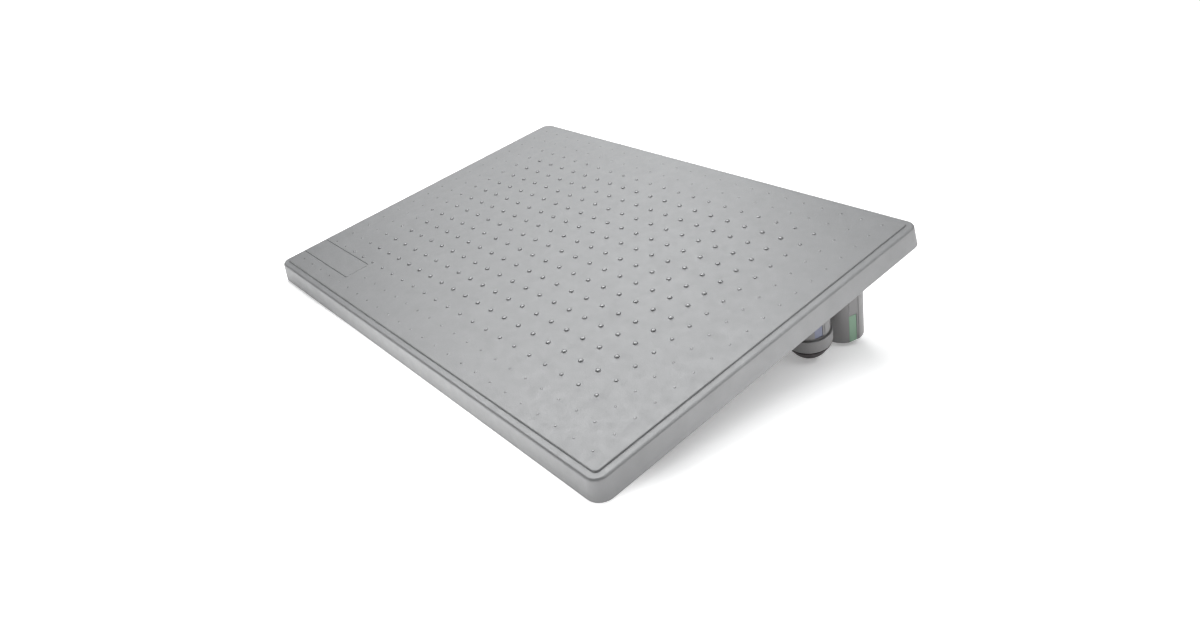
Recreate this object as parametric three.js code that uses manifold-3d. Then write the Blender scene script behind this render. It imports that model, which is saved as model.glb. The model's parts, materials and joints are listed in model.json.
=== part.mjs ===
// Adjustable under-desk footrest: a sloping moulded platform with a studded tread, two pairs of
// colour-coded socket columns under its raised rear edge, and a plug-in rubber-tipped foot in the
// shorter column of each pair.
//
// Units are millimetres. Every piece is drawn in the platform's own frame: X across, Y from the
// front edge to the rear, Z square to the tread, with z = 0 on the tread's surface and x = y = 0 at
// its middle. One group then tilts that frame about X and sets the whole footrest on z = 0.

import * as THREE from 'three';
import { mergeGeometries, mergeVertices } from 'three/addons/utils/BufferGeometryUtils.js';
import Module from 'manifold-3d';

const wasm = await Module();
wasm.setup();

// ---------------------------------------------------------------- driving dimensions

const TILT = THREE.MathUtils.degToRad(15); // slope of the tread with the feet in the short columns
const FIT_GAP = 0.3; // clearance between pieces that touch
const OVERCUT = 1; // how far a cutter reaches past the surface it cuts
const HOLE_SIDES = 12; // facets of the screw holes

// platform
const BASE_HALF_X = 229.7; // at the skirt's lower edge
const BASE_HALF_Y = 168.1;
const BASE_CORNER = 11.4;
const SKIRT_DEPTH = 18; // from the tread's surface to the skirt's lower edge
const SKIRT_FLARE = 2.3; // how far the skirt leans out on its way down
const RIM_ROUND = 2; // rounding between the rim and the skirt
const RIM_DROP = 1.2; // the rim lies this far below the tread
const PANEL_HALF_X = 220.6;
const PANEL_HALF_Y = 159.2;
const PANEL_CORNER = 3;
const PANEL_STEP = 0.8; // run of the steep side from the tread down to the rim
const TOP_THICKNESS = 3;
const WALL = 2.8;
const CORNER_STEPS = 6;
const RIM_STEPS = 6; // facets of the rounding between the rim and the skirt

// studs on the tread: a centred grid whose three outer rings get smaller outwards
const STUD_PITCH_X = 18;
const STUD_PITCH_Y = 17.5;
const STUD_COLUMNS = 24;
const STUD_ROWS = 18;
const FINE_RINGS = 2; // pin-head studs, too fine to be worth solids
const STUD_SIDES = 5;
const LARGE_STUD = { radius: 1.85, height: 1.2 };
const MEDIUM_STUD = { radius: 1.4, height: 0.85 };
const STUD_SINK = 0.4; // how far a stud's root goes into the panel

// blank name field at the front left: a groove round three sides, open at the tread's left edge
const NAME_RIGHT_X = -135;
const NAME_FRONT_Y = -141.7;
const NAME_REAR_Y = -118.6;
const NAME_GROOVE_WIDTH = 1.4;
const NAME_GROOVE_DEPTH = 0.5;

// stiffening ribs under the tread
const RIB_THICKNESS = 2.2;
const RIB_DEPTH = 3.5;
const CROSSWISE_RIB_X = [-150, -75, 0, 75, 150];
const LENGTHWISE_RIB_Y = [-105, -35, 35, 105];

// socket columns, given for the right-hand side
const COLUMN_RADIUS = 16.7;
const BORE_RADIUS = 13.7;
const BLUE_COLUMN = { x: 189.9, y: 75.5, end: -57 };
const GREEN_COLUMN = { x: 188.8, y: 119.5, end: -89.3 };
const COLUMN_SIDES = 30;
const FLANGE_TOP = -12;
const FLANGE_THICKNESS = 3;
const FLANGE_HALF_WIDTH = 18.5;
const SCREW_OFFSET = 21.5; // column axis to screw axis, both ways along X
const FLANGE_END_RADIUS = 6;
const FLANGE_END_SWEEP = THREE.MathUtils.degToRad(69); // half the arc round each screw
const FLANGE_SIDE_SWEEP = THREE.MathUtils.degToRad(50); // half of each arc beside the tube
const FLANGE_ARC_STEPS = 8;
const MOUTH_CHAMFER = 0.8; // at the open end of the bore
const FLAT_STOP = 1; // the channel ends this far short of the flange
const BOSS_RADIUS = 4.6;

// flat-bottomed channel down each column, which carries its colour mark
const FLAT_ANGLE = THREE.MathUtils.degToRad(-19.5); // which way it faces, from +X
const FLAT_HALF_ANGLE = THREE.MathUtils.degToRad(15.5); // as seen from the column's axis
const FLAT_SINK = 0.35; // how far its floor lies under the chord between its edges
const MARK_FROM = -4.3; // edges of the colour mark, measured along the flat
const MARK_TO = 2.4;
const MARK_HEIGHT = 25;
const MARK_THICKNESS = 0.7;

// screws
const COLUMN_SCREW = { headRadius: 3.2, headHeight: 2.2, shankRadius: 1.7, length: 9.5 };
const TIP_SCREW = { headRadius: 3.4, headHeight: 2.4, shankRadius: 1.7, length: 14 };
const SCREW_SIDES = 10;
const DRIVE_WIDTH = 0.9;
const DRIVE_DEPTH = 1.2;
const DRIVE_REACH = 0.6; // half the cross recess, as a share of the head's radius
const HEAD_CROWN = { radius: 0.7, height: 0.4 }; // rounding of the head, as shares of its size
const POINT = { radius: 0.3, length: 1.5 }; // blunt point: share of the shank's radius, and length

// plug-in foot, measured from the lower end of its column
const NECK_RADIUS = 16.2;
const NECK_HEIGHT = 0.9;
const CUP_RADIUS = 18.25;
const CUP_HEIGHT = 11.2;
const CUP_TAPER = 0.6;
const CUP_CHAMFER = 2; // height of the taper at the cup's lower edge
const CUP_EDGE = 0.6; // chamfer of its upper edge
const STEM_RADIUS = 13.3;
const STEM_LENGTH = 35;
const STEM_BORE = 9.5;
const STEM_LEAD = { run: 1.2, height: 2 }; // chamfer that guides the stem in
const BORE_SIDES = 24;
const CUP_FLOOR = 6; // solid floor between the stem's bore and the tip's pocket
const FOOT_SIDES = 28;
const O_RING_SECTION = 1.1; // radius of its cross-section
const O_RING_UP = 8; // its height above the column's end
const TIP_RADIUS = 17.3;
const TIP_BAND = 1; // straight side above the tip's cone
const TIP_SLOPE = THREE.MathUtils.degToRad(35); // the cone's half angle
const TIP_HUB_RADIUS = 7.5;
const TIP_HUB_HEIGHT = 6.5;
const CAP_STEPS = 5; // facets of the round cap that the tip stands on

// rubber pads that the front edge stands on, pushed up onto a rib of the platform
const PAD_CENTRE_X = 178;
const PAD_LENGTH = 58;
const PAD_FRONT_Y = -162.5;
const PAD_REAR_Y = -146.5;
const PAD_TOP = -13.9;
const PAD_BEVEL = 0.7;
const PAD_RIB_Y = -154.5;
const PAD_RIB_THICKNESS = 3;
const PAD_RIB_END = -18.7;
const PAD_RIB_MARGIN = 2; // the rib stops this far short of each end of its pad
const SKIRT_LIFT = 0.8; // the skirt's front edge clears the floor by this much

// ---------------------------------------------------------------- geometry helpers

/** Merges a geometry's shared vertices, drops empty triangles and turns its faces outwards. */
function closed(geometry) {
  const bare = geometry.clone();
  bare.deleteAttribute('normal');
  bare.deleteAttribute('uv');
  const merged = mergeVertices(bare, 1e-4);
  const point = merged.attributes.position;
  const index = merged.index.array;
  const kept = [];
  let volume = 0;
  const a = new THREE.Vector3();
  const b = new THREE.Vector3();
  const c = new THREE.Vector3();
  for (let i = 0; i < index.length; i += 3) {
    const [p, q, r] = [index[i], index[i + 1], index[i + 2]];
    if (p === q || q === r || r === p) continue;
    kept.push(p, q, r);
    a.fromBufferAttribute(point, p);
    b.fromBufferAttribute(point, q);
    c.fromBufferAttribute(point, r);
    volume += a.dot(b.cross(c));
  }
  if (volume < 0) kept.reverse();
  merged.setIndex(kept);
  return merged;
}

function toManifold(geometry) {
  const merged = closed(geometry);
  return new wasm.Manifold(
    new wasm.Mesh({
      numProp: 3,
      vertProperties: new Float32Array(merged.attributes.position.array),
      triVerts: new Uint32Array(merged.index.array),
    }),
  );
}

function toGeometry(manifold) {
  const result = manifold.getMesh();
  const geometry = new THREE.BufferGeometry();
  geometry.setAttribute('position', new THREE.BufferAttribute(result.vertProperties, 3));
  geometry.setIndex(new THREE.BufferAttribute(result.triVerts, 1));
  return geometry;
}

/** Joins and cuts closed geometries: everything in `add`, less everything in `cut`. */
function combine(add, cut = []) {
  let solid = toManifold(add[0]);
  for (const piece of add.slice(1)) solid = solid.add(toManifold(piece));
  for (const piece of cut) solid = solid.subtract(toManifold(piece));
  return toGeometry(solid);
}

function boxBetween(x0, x1, y0, y1, z0, z1) {
  const box = new THREE.BoxGeometry(x1 - x0, y1 - y0, z1 - z0);
  return box.translate((x0 + x1) / 2, (y0 + y1) / 2, (z0 + z1) / 2);
}

/** A solid of revolution about Z from [radius, z] pairs that start and end on the axis. */
function turned(profile, sides) {
  const points = profile.map(([radius, z]) => new THREE.Vector2(radius, z));
  return closed(new THREE.LatheGeometry(points, sides).rotateX(Math.PI / 2));
}

function upright(x, y, z0, z1, radius, sides) {
  const profile = [[0, z0], [radius, z0], [radius, z1], [0, z1]];
  return turned(profile, sides).translate(x, y, 0);
}

/** The corner points of one level of a rounded rectangle, anticlockwise from above. */
function roundedLevel({ halfX, halfY, corner, z }) {
  const points = [];
  for (let quarter = 0; quarter < 4; quarter += 1) {
    const signX = quarter === 0 || quarter === 3 ? 1 : -1;
    const signY = quarter < 2 ? 1 : -1;
    for (let step = 0; step <= CORNER_STEPS; step += 1) {
      const angle = ((quarter + step / CORNER_STEPS) * Math.PI) / 2;
      const x = signX * (halfX - corner) + corner * Math.cos(angle);
      const y = signY * (halfY - corner) + corner * Math.sin(angle);
      points.push(new THREE.Vector3(x, y, z));
    }
  }
  return points;
}

/** A closed solid through rounded-rectangle levels listed from the bottom up. */
function stacked(levels) {
  const loops = levels.map(roundedLevel);
  const count = loops[0].length;
  const positions = [];
  for (const point of loops.flat()) positions.push(point.x, point.y, point.z);
  const index = [];
  for (let level = 0; level < loops.length - 1; level += 1) {
    for (let i = 0; i < count; i += 1) {
      const here = level * count + i;
      const next = level * count + ((i + 1) % count);
      index.push(here, next, next + count, here, next + count, here + count);
    }
  }
  const top = (loops.length - 1) * count;
  for (let i = 1; i < count - 1; i += 1) {
    index.push(0, i + 1, i);
    index.push(top, top + i, top + i + 1);
  }
  const geometry = new THREE.BufferGeometry();
  geometry.setAttribute('position', new THREE.Float32BufferAttribute(positions, 3));
  geometry.setIndex(index);
  return geometry;
}

/** Mirrors a right-hand piece to the left; a side of 1 leaves it as it is. */
function forSide(geometry, side) {
  return side > 0 ? geometry : closed(geometry.clone().scale(-1, 1, 1));
}

// ---------------------------------------------------------------- materials

function plastic(color, roughness) {
  return new THREE.MeshStandardMaterial({ color, roughness, metalness: 0 });
}

const LOOKS = {
  platform: () => plastic(0xaeb1b4, 0.55),
  column: () => plastic(0x8e8c8d, 0.55),
  blue: () => plastic(0x7881ab, 0.5),
  green: () => plastic(0x6f9277, 0.5),
  rubber: () => plastic(0x1c1a1a, 0.85),
  steel: () => new THREE.MeshStandardMaterial({ color: 0xb4b6b8, roughness: 0.35, metalness: 0.9 }),
};

// ---------------------------------------------------------------- where the floor is

/** Height of the floor in the platform's frame, at a distance y behind the middle. */
function floorAt(y) {
  const lift = SKIRT_LIFT / Math.cos(TILT);
  return -SKIRT_DEPTH - lift - (y + BASE_HALF_Y) * Math.tan(TILT);
}

// ---------------------------------------------------------------- platform

function platformOutside() {
  const topHalfX = BASE_HALF_X - SKIRT_FLARE;
  const topHalfY = BASE_HALF_Y - SKIRT_FLARE;
  const topCorner = BASE_CORNER - SKIRT_FLARE;
  const levels = [
    { halfX: BASE_HALF_X, halfY: BASE_HALF_Y, corner: BASE_CORNER, z: -SKIRT_DEPTH },
  ];
  for (let step = 0; step <= RIM_STEPS; step += 1) {
    const angle = ((step / RIM_STEPS) * Math.PI) / 2;
    const inset = RIM_ROUND * (1 - Math.cos(angle));
    levels.push({
      halfX: topHalfX - inset,
      halfY: topHalfY - inset,
      corner: topCorner - inset,
      z: -RIM_DROP - RIM_ROUND * (1 - Math.sin(angle)),
    });
  }
  levels.push({
    halfX: PANEL_HALF_X + PANEL_STEP,
    halfY: PANEL_HALF_Y + PANEL_STEP,
    corner: PANEL_CORNER + PANEL_STEP,
    z: -RIM_DROP,
  });
  levels.push({ halfX: PANEL_HALF_X, halfY: PANEL_HALF_Y, corner: PANEL_CORNER, z: 0 });
  return stacked(levels);
}

function platformInside() {
  const slope = SKIRT_FLARE / (SKIRT_DEPTH - RIM_DROP - RIM_ROUND);
  const inset = (z) => WALL + slope * (z + SKIRT_DEPTH);
  const levels = [-SKIRT_DEPTH - OVERCUT, -TOP_THICKNESS].map((z) => ({
    halfX: BASE_HALF_X - inset(z),
    halfY: BASE_HALF_Y - inset(z),
    corner: BASE_CORNER - inset(z),
    z,
  }));
  return stacked(levels);
}

function studs() {
  const pieces = [];
  for (let row = FINE_RINGS; row < STUD_ROWS - FINE_RINGS; row += 1) {
    for (let column = FINE_RINGS; column < STUD_COLUMNS - FINE_RINGS; column += 1) {
      const fromEdge = Math.min(row, column, STUD_ROWS - 1 - row, STUD_COLUMNS - 1 - column);
      const size = fromEdge === FINE_RINGS ? MEDIUM_STUD : LARGE_STUD;
      const root = size.radius * (1 + STUD_SINK / size.height);
      const stud = new THREE.ConeGeometry(root, size.height + STUD_SINK, STUD_SIDES);
      stud.rotateX(Math.PI / 2);
      stud.translate(
        (column - (STUD_COLUMNS - 1) / 2) * STUD_PITCH_X,
        (row - (STUD_ROWS - 1) / 2) * STUD_PITCH_Y,
        (size.height - STUD_SINK) / 2,
      );
      pieces.push(closed(stud));
    }
  }
  return mergeGeometries(pieces);
}

function ribs() {
  const bottom = -TOP_THICKNESS - RIB_DEPTH;
  const top = -TOP_THICKNESS / 2;
  const reachX = BASE_HALF_X - SKIRT_FLARE - WALL / 2;
  const reachY = BASE_HALF_Y - SKIRT_FLARE - WALL / 2;
  const half = RIB_THICKNESS / 2;
  return [
    ...CROSSWISE_RIB_X.map((x) => boxBetween(x - half, x + half, -reachY, reachY, bottom, top)),
    ...LENGTHWISE_RIB_Y.map((y) => boxBetween(-reachX, reachX, y - half, y + half, bottom, top)),
  ];
}

/** The axes of the screws that hold the columns, on both sides. */
function screwAxes() {
  const axes = [];
  for (const column of [BLUE_COLUMN, GREEN_COLUMN]) {
    for (const side of [-1, 1]) {
      for (const end of [-1, 1]) axes.push({ x: side * (column.x + end * SCREW_OFFSET), y: column.y });
    }
  }
  return axes;
}

function padRibs() {
  const half = PAD_LENGTH / 2 - PAD_RIB_MARGIN;
  const thick = PAD_RIB_THICKNESS / 2;
  const [y0, y1] = [PAD_RIB_Y - thick, PAD_RIB_Y + thick];
  return [-1, 1].map((side) => {
    const x = side * PAD_CENTRE_X;
    return boxBetween(x - half, x + half, y0, y1, PAD_RIB_END, -TOP_THICKNESS / 2);
  });
}

/** The three straight cuts that outline the name field. */
function nameGroove() {
  const half = NAME_GROOVE_WIDTH / 2;
  const cut = (x0, x1, y0, y1) => boxBetween(x0, x1, y0, y1, -NAME_GROOVE_DEPTH, OVERCUT);
  const leftX = -PANEL_HALF_X - PANEL_STEP / 2;
  const rightX = NAME_RIGHT_X + half;
  return [
    cut(leftX, rightX, NAME_FRONT_Y - half, NAME_FRONT_Y + half),
    cut(leftX, rightX, NAME_REAR_Y - half, NAME_REAR_Y + half),
    cut(NAME_RIGHT_X - half, rightX, NAME_FRONT_Y, NAME_REAR_Y),
  ];
}

function platformShell() {
  const bossFoot = FLANGE_TOP + FIT_GAP;
  const bossRoot = -TOP_THICKNESS / 2;
  const bossSides = 16;
  const pilotRadius = COLUMN_SCREW.shankRadius + FIT_GAP;
  const pilotTop = FLANGE_TOP + COLUMN_SCREW.length - FLANGE_THICKNESS;
  const bosses = screwAxes().map(({ x, y }) =>
    upright(x, y, bossFoot, bossRoot, BOSS_RADIUS, bossSides),
  );
  const pilots = screwAxes().map(({ x, y }) =>
    upright(x, y, bossFoot - OVERCUT, pilotTop, pilotRadius, HOLE_SIDES),
  );
  const tray = combine([platformOutside()], [platformInside()]);
  const added = [tray, studs(), ...ribs(), ...padRibs(), ...bosses];
  return combine(added, [...nameGroove(), ...pilots]);
}

// ---------------------------------------------------------------- columns and their marks

const FLAT_DISTANCE = COLUMN_RADIUS * Math.cos(FLAT_HALF_ANGLE) - FLAT_SINK;
const FLAT_HALF_WIDTH = COLUMN_RADIUS * Math.sin(FLAT_HALF_ANGLE);

function flange(column) {
  const outline = new THREE.Shape();
  const arcs = [
    { x: SCREW_OFFSET, radius: FLANGE_END_RADIUS, middle: 0, sweep: FLANGE_END_SWEEP },
    { x: 0, radius: FLANGE_HALF_WIDTH, middle: Math.PI / 2, sweep: FLANGE_SIDE_SWEEP },
    { x: -SCREW_OFFSET, radius: FLANGE_END_RADIUS, middle: Math.PI, sweep: FLANGE_END_SWEEP },
    { x: 0, radius: FLANGE_HALF_WIDTH, middle: (3 * Math.PI) / 2, sweep: FLANGE_SIDE_SWEEP },
  ];
  for (const { x, radius, middle, sweep } of arcs) {
    outline.absarc(x, 0, radius, middle - sweep, middle + sweep);
  }
  const settings = {
    depth: FLANGE_THICKNESS,
    bevelEnabled: false,
    curveSegments: FLANGE_ARC_STEPS,
  };
  const plate = new THREE.ExtrudeGeometry(outline, settings);
  return plate.translate(column.x, column.y, FLANGE_TOP - FLANGE_THICKNESS);
}

/** A block whose inner face lies `distance` from the column's axis, square to its flat. */
function flatCutter(column, distance, from, to, z0, z1) {
  const reach = 8;
  const block = boxBetween(distance, distance + reach, from, to, z0, z1);
  return block.rotateZ(FLAT_ANGLE).translate(column.x, column.y, 0);
}

function socketColumn(column) {
  const seat = FLANGE_TOP - FLANGE_THICKNESS;
  const tube = turned(
    [[0, column.end], [COLUMN_RADIUS, column.end], [COLUMN_RADIUS, FLANGE_TOP], [0, FLANGE_TOP]],
    COLUMN_SIDES,
  ).translate(column.x, column.y, 0);
  const bore = turned(
    [
      [0, column.end - OVERCUT],
      [BORE_RADIUS + MOUTH_CHAMFER + OVERCUT, column.end - OVERCUT],
      [BORE_RADIUS, column.end + MOUTH_CHAMFER],
      [BORE_RADIUS, seat],
      [0, seat],
    ],
    COLUMN_SIDES,
  ).translate(column.x, column.y, 0);
  const flat = flatCutter(
    column,
    FLAT_DISTANCE,
    -FLAT_HALF_WIDTH,
    FLAT_HALF_WIDTH,
    column.end - OVERCUT,
    seat - FLAT_STOP,
  );
  const pocket = flatCutter(
    column,
    FLAT_DISTANCE - MARK_THICKNESS - FIT_GAP,
    MARK_FROM - FIT_GAP,
    MARK_TO + FIT_GAP,
    column.end - OVERCUT,
    column.end + MARK_HEIGHT + FIT_GAP,
  );
  const holes = [-1, 1].map((end) =>
    upright(
      column.x + end * SCREW_OFFSET,
      column.y,
      seat - OVERCUT,
      FLANGE_TOP + OVERCUT,
      COLUMN_SCREW.shankRadius + FIT_GAP,
      HOLE_SIDES,
    ),
  );
  return combine([tube, flange(column)], [bore, flat, pocket, ...holes]);
}

function colourMark(column) {
  const inner = FLAT_DISTANCE - MARK_THICKNESS;
  const strip = boxBetween(inner, FLAT_DISTANCE, MARK_FROM, MARK_TO, column.end, column.end + MARK_HEIGHT);
  return closed(strip.rotateZ(FLAT_ANGLE).translate(column.x, column.y, 0));
}

// ---------------------------------------------------------------- screws

/** A cross-recess screw along Z, its shank pointing up from a head that ends at z = 0. */
function screw({ headRadius, headHeight, shankRadius, length }) {
  const body = turned(
    [
      [0, -headHeight],
      [headRadius * HEAD_CROWN.radius, -headHeight],
      [headRadius, -headHeight * HEAD_CROWN.height],
      [headRadius, 0],
      [shankRadius, 0],
      [shankRadius, length - POINT.length],
      [shankRadius * POINT.radius, length],
      [0, length],
    ],
    SCREW_SIDES,
  );
  const reach = headRadius * DRIVE_REACH;
  const half = DRIVE_WIDTH / 2;
  const deep = -headHeight + DRIVE_DEPTH;
  const slots = [
    boxBetween(-reach, reach, -half, half, -headHeight - OVERCUT, deep),
    boxBetween(-half, half, -reach, reach, -headHeight - OVERCUT, deep),
  ];
  return combine([body], slots);
}

// ---------------------------------------------------------------- foot

/** Levels of the foot in the short column, in the platform's frame. */
const FOOT = (() => {
  const shoulder = BLUE_COLUMN.end - FIT_GAP;
  const cupTop = shoulder - NECK_HEIGHT;
  const cupBottom = cupTop - CUP_HEIGHT;
  const domeTop = cupBottom - FIT_GAP;
  const hubTop = domeTop + TIP_HUB_HEIGHT;
  const boreFloor = hubTop + FIT_GAP + CUP_FLOOR;
  return { shoulder, cupTop, cupBottom, domeTop, hubTop, boreFloor };
})();

/** Where the tip's cone runs into its round cap, which just touches the floor at the tilt. */
function tipCap() {
  const coneTop = FOOT.domeTop - TIP_BAND;
  const apex = coneTop - TIP_RADIUS / Math.tan(TIP_SLOPE);
  const toFloor = (apex - floorAt(BLUE_COLUMN.y)) * Math.cos(TILT);
  const radius = toFloor / (1 - Math.cos(TILT) / Math.sin(TIP_SLOPE));
  const centre = apex + radius / Math.sin(TIP_SLOPE);
  return { coneTop, radius, centre };
}

function footBody() {
  const { shoulder, cupTop, cupBottom, hubTop, boreFloor } = FOOT;
  const stemTop = BLUE_COLUMN.end + STEM_LENGTH;
  const ringZ = BLUE_COLUMN.end + O_RING_UP;
  const grooveRadius = BORE_RADIUS - 2 * (O_RING_SECTION + FIT_GAP);
  const grooveHalf = O_RING_SECTION + FIT_GAP;
  const pocketRadius = TIP_HUB_RADIUS + FIT_GAP;
  const holeRadius = TIP_SCREW.shankRadius + FIT_GAP;
  const body = turned(
    [
      [0, cupBottom],
      [CUP_RADIUS - CUP_TAPER, cupBottom],
      [CUP_RADIUS, cupBottom + CUP_CHAMFER],
      [CUP_RADIUS, cupTop - CUP_EDGE],
      [CUP_RADIUS - CUP_EDGE, cupTop],
      [NECK_RADIUS, cupTop],
      [NECK_RADIUS, shoulder],
      [STEM_RADIUS, shoulder],
      [STEM_RADIUS, ringZ - grooveHalf],
      [grooveRadius, ringZ - grooveHalf],
      [grooveRadius, ringZ + grooveHalf],
      [STEM_RADIUS, ringZ + grooveHalf],
      [STEM_RADIUS, stemTop - STEM_LEAD.height],
      [STEM_RADIUS - STEM_LEAD.run, stemTop],
      [0, stemTop],
    ],
    FOOT_SIDES,
  );
  const bore = upright(0, 0, boreFloor, stemTop + OVERCUT, STEM_BORE, BORE_SIDES);
  const pocket = upright(0, 0, cupBottom - OVERCUT, hubTop + FIT_GAP, pocketRadius, BORE_SIDES);
  const hole = upright(0, 0, cupBottom, boreFloor + OVERCUT, holeRadius, HOLE_SIDES);
  const geometry = combine([body], [bore, pocket, hole]);
  return geometry.translate(BLUE_COLUMN.x, BLUE_COLUMN.y, 0);
}

function oRing() {
  const middle = BORE_RADIUS - O_RING_SECTION - FIT_GAP;
  const sectionSides = 6;
  const ring = new THREE.TorusGeometry(middle, O_RING_SECTION, sectionSides, BORE_SIDES);
  return closed(ring.translate(BLUE_COLUMN.x, BLUE_COLUMN.y, BLUE_COLUMN.end + O_RING_UP));
}

function footTip() {
  const { domeTop, hubTop, boreFloor } = FOOT;
  const { coneTop, radius, centre } = tipCap();
  const profile = [];
  for (let step = 0; step <= CAP_STEPS; step += 1) {
    const angle = (step / CAP_STEPS) * (Math.PI / 2 - TIP_SLOPE);
    profile.push([radius * Math.sin(angle), centre - radius * Math.cos(angle)]);
  }
  profile.push([TIP_RADIUS, coneTop], [TIP_RADIUS, domeTop]);
  profile.push([TIP_HUB_RADIUS, domeTop], [TIP_HUB_RADIUS, hubTop], [0, hubTop]);
  const tip = turned(profile, FOOT_SIDES);
  const pilotEnd = boreFloor - TIP_SCREW.length - OVERCUT;
  const holeRadius = TIP_SCREW.shankRadius + FIT_GAP;
  const pilot = upright(0, 0, pilotEnd, hubTop + OVERCUT, holeRadius, HOLE_SIDES);
  return combine([tip], [pilot]).translate(BLUE_COLUMN.x, BLUE_COLUMN.y, 0);
}

// ---------------------------------------------------------------- front pads

/** Cross-section of a pad in (y, z): level with the floor below, slotted for its rib above. */
function frontPad() {
  const slotHalf = PAD_RIB_THICKNESS / 2 + FIT_GAP;
  const slotEnd = PAD_RIB_END - FIT_GAP;
  const outline = new THREE.Shape([
    new THREE.Vector2(PAD_FRONT_Y, floorAt(PAD_FRONT_Y)),
    new THREE.Vector2(PAD_REAR_Y, floorAt(PAD_REAR_Y)),
    new THREE.Vector2(PAD_REAR_Y, PAD_TOP),
    new THREE.Vector2(PAD_RIB_Y + slotHalf, PAD_TOP),
    new THREE.Vector2(PAD_RIB_Y + slotHalf, slotEnd),
    new THREE.Vector2(PAD_RIB_Y - slotHalf, slotEnd),
    new THREE.Vector2(PAD_RIB_Y - slotHalf, PAD_TOP),
    new THREE.Vector2(PAD_FRONT_Y, PAD_TOP),
  ]);
  const settings = {
    depth: PAD_LENGTH - 2 * PAD_BEVEL,
    bevelThickness: PAD_BEVEL,
    bevelSize: PAD_BEVEL,
    bevelOffset: -PAD_BEVEL,
    bevelSegments: 2,
  };
  const strip = new THREE.ExtrudeGeometry(outline, settings);
  // shape x, y and the extrusion become Y, Z and X
  strip.applyMatrix4(new THREE.Matrix4().set(0, 0, 1, 0, 1, 0, 0, 0, 0, 1, 0, 0, 0, 0, 0, 1));
  return closed(strip.translate(PAD_CENTRE_X - PAD_LENGTH / 2 + PAD_BEVEL, 0, 0));
}

// ---------------------------------------------------------------- assembly

const platformFrame = new THREE.Group();

function addPiece(name, geometry, look) {
  const mesh = new THREE.Mesh(geometry, LOOKS[look]());
  mesh.name = name;
  platformFrame.add(mesh);
  return mesh;
}

function addColumnScrews(column, colour, side, sideName) {
  ['inner', 'outer'].forEach((place, i) => {
    const name = `${colour}_column_screw_${place}_${sideName}`;
    const mesh = addPiece(name, screw(COLUMN_SCREW), 'steel');
    const x = side * (column.x + (i === 0 ? -SCREW_OFFSET : SCREW_OFFSET));
    mesh.position.set(x, column.y, FLANGE_TOP - FLANGE_THICKNESS - FIT_GAP);
  });
}

function addTipScrew(side, sideName) {
  const mesh = addPiece(`tip_screw_${sideName}`, screw(TIP_SCREW), 'steel');
  mesh.rotation.x = Math.PI; // driven downwards from inside the stem
  mesh.position.set(side * BLUE_COLUMN.x, BLUE_COLUMN.y, FOOT.boreFloor + FIT_GAP);
}

addPiece('platform_shell', platformShell(), 'platform');

for (const [side, sideName] of [[1, 'right'], [-1, 'left']]) {
  for (const [colour, column] of [['blue', BLUE_COLUMN], ['green', GREEN_COLUMN]]) {
    addPiece(`${colour}_socket_column_${sideName}`, forSide(socketColumn(column), side), 'column');
    addPiece(`${colour}_mark_${sideName}`, forSide(colourMark(column), side), colour);
    addColumnScrews(column, colour, side, sideName);
  }
  addPiece(`foot_body_${sideName}`, forSide(footBody(), side), 'column');
  addPiece(`foot_o_ring_${sideName}`, forSide(oRing(), side), 'rubber');
  addPiece(`foot_tip_${sideName}`, forSide(footTip(), side), 'rubber');
  addTipScrew(side, sideName);
  addPiece(`front_pad_${sideName}`, forSide(frontPad(), side), 'rubber');
}

// tilt the platform's frame, then stand the footrest on z = 0 with x = y = 0 under its middle
platformFrame.rotation.x = TILT;
const footrest = new THREE.Group();
footrest.add(platformFrame);
footrest.updateMatrixWorld(true);
const bounds = new THREE.Box3().setFromObject(footrest, true);
const middle = bounds.getCenter(new THREE.Vector3());
platformFrame.position.set(-middle.x, -middle.y, -bounds.min.z);
footrest.updateMatrixWorld(true);

export default footrest;
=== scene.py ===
import json
import math

import bmesh
import bpy
from mathutils import Matrix, Vector


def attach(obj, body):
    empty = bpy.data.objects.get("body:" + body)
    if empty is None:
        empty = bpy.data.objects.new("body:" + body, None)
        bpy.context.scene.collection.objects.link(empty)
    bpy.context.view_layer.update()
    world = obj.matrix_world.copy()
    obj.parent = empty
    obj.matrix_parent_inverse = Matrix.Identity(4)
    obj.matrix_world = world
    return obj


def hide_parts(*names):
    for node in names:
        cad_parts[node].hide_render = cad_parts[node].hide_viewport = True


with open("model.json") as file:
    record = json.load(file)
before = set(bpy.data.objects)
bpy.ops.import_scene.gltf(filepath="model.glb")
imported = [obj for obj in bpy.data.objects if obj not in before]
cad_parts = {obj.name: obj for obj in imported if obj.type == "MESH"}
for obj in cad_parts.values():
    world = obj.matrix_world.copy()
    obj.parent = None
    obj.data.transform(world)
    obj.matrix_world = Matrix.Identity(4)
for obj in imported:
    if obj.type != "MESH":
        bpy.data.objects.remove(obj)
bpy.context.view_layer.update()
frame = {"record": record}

# The footrest is drawn in the platform's own frame, in millimetres: X across, Y from the front edge
# to the rear, Z square to the tread, with the origin on the tread's surface at its middle. The
# record's "tread" mount is that origin, so PLATFORM takes a drawn piece to its place in the frame.

TREAD = next(m for m in frame["record"]["mounts"] if m["name"] == "tread")
TILT = math.atan2(-TREAD["axis"][1], TREAD["axis"][2])
PLATFORM = (
    Matrix.Translation(TREAD["pos_m"]) @ Matrix.Rotation(TILT, 4, "X") @ Matrix.Scale(0.001, 4)
)
SIDES = {"right": 1, "left": -1}
FIT_GAP = 0.3

CAMERA_LENS = 25.352         # in millimetres, on a sensor 36 mm wide
CAMERA_SHIFT = (0.01165, -0.01281)
CAMERA_PLACE = (0.52625, -0.422, 0.30798)
CAMERA_HEADING = math.radians(49.8666)
CAMERA_PITCH = math.radians(23.9216)
CAMERA_ROLL = math.radians(0.0745)

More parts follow.
